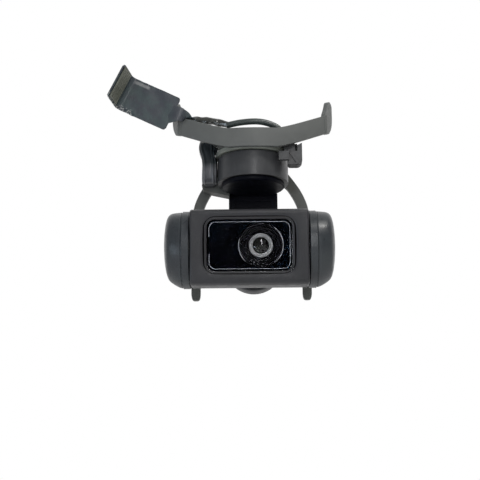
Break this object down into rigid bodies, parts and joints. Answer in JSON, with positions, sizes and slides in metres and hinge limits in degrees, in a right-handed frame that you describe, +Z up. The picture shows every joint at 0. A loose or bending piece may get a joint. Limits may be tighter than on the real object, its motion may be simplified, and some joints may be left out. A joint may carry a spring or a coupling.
{
  "type": "camera gimbal",
  "caption": "Compact gimbal for a small folding drone: bowed horn bracket, yaw cup, rear roll motor and a pitching camera between two drums, with flex tail",
  "frame": {"origin": "On the yaw axis, in the upper face of the three mounting bosses of the horn bracket", "axes": "+Z up along the yaw axis towards the airframe, -Y forwards where the lens looks, +X to the right seen from the front"},
  "size_m": [0.0575, 0.0326, 0.057],
  "materials": {
    "bracket_grey": "satin moulded, faint grey-green",
    "arm_black": "fine-textured black",
    "cup_grey": "satin anodised dark grey",
    "drum_grey": "soft-touch dark grey",
    "shell_grey": "soft-touch dark grey",
    "trim_black": "black frame",
    "cover_glass": "smoked cover glass",
    "lens_black": "black anodised look",
    "bezel_grey": "light grey printed ring",
    "lens_glass": "coated lens",
    "steel": "bright",
    "copper": "enamelled copper wire",
    "board_green": "solder mask",
    "part_black": "moulded connector",
    "rubber": "soft",
    "tape_black": "crinkled black tape",
    "flex_grey": "coated flexible circuit, blue-grey",
    "contact_grey": "dulled contact strip",
    "heat_alu": "die-cast"
  },
  "bodies": {
    "base": {"horn_bracket": "bracket_grey", "yaw_mount": "arm_black", "rear_damper": "rubber", "bracket_screws": "steel", "yaw_stator_core": "steel", "yaw_coils": "copper", "yaw_bearing_upper": "steel", "yaw_bearing_lower": "steel", "yaw_driver_board": "board_green", "board_connector": "part_black", "yaw_stop_clip": "arm_black", "signal_cable": "part_black", "taped_bundle": "tape_black", "flex_tail": "flex_grey", "flex_stiffener": "contact_grey", "flex_connector": "contact_grey", "yaw_flex_loop": "tape_black"},
    "yaw_arm": {"yaw_cup": "cup_grey", "yaw_magnets": "steel", "yaw_shaft": "steel", "yaw_post": "arm_black", "left_guard_leg": "arm_black", "right_guard_leg": "arm_black", "cable_clamp": "arm_black", "roll_housing": "arm_black", "roll_stator_core": "steel", "roll_coils": "copper", "roll_bearing_front": "steel", "roll_bearing_rear": "steel", "roll_encoder_board": "board_green", "roll_rear_cover": "arm_black", "cover_screws": "steel"},
    "roll_arm": {"roll_rotor_cup": "cup_grey", "roll_magnets": "steel", "roll_shaft": "steel", "roll_beam": "drum_grey", "frame_screws": "steel", "left_drum": "drum_grey", "left_drum_cap": "drum_grey", "pitch_stator_core": "steel", "pitch_coils": "copper", "pitch_bearing": "steel", "right_drum": "drum_grey", "right_drum_cap": "drum_grey", "idler_bearing": "steel"},
    "camera": {"camera_front_shell": "shell_grey", "camera_rear_shell": "shell_grey", "cover_glass": "cover_glass", "glass_trim": "trim_black", "lens_surround": "lens_black", "lens_barrel": "lens_black", "lens_bezel": "bezel_grey", "front_lens": "lens_glass", "sensor_board": "board_green", "heat_spreader": "heat_alu", "pitch_rotor": "cup_grey", "pitch_magnets": "steel", "pivot_stub": "steel"}
  },
  "joints": [
    {"name": "yaw", "type": "hinge", "parent": "base", "child": "yaw_arm", "pos_m": [0, 0, -0.006], "axis": [0, 0, 1], "range_deg": [-20, 20]},
    {"name": "roll", "type": "hinge", "parent": "yaw_arm", "child": "roll_arm", "pos_m": [0, -0.006, -0.029], "axis": [0, 1, 0], "range_deg": [-35, 35]},
    {"name": "pitch", "type": "hinge", "parent": "roll_arm", "child": "camera", "pos_m": [-0.001, -0.006, -0.029], "axis": [1, 0, 0], "range_deg": [-43, 102]}
  ]
}
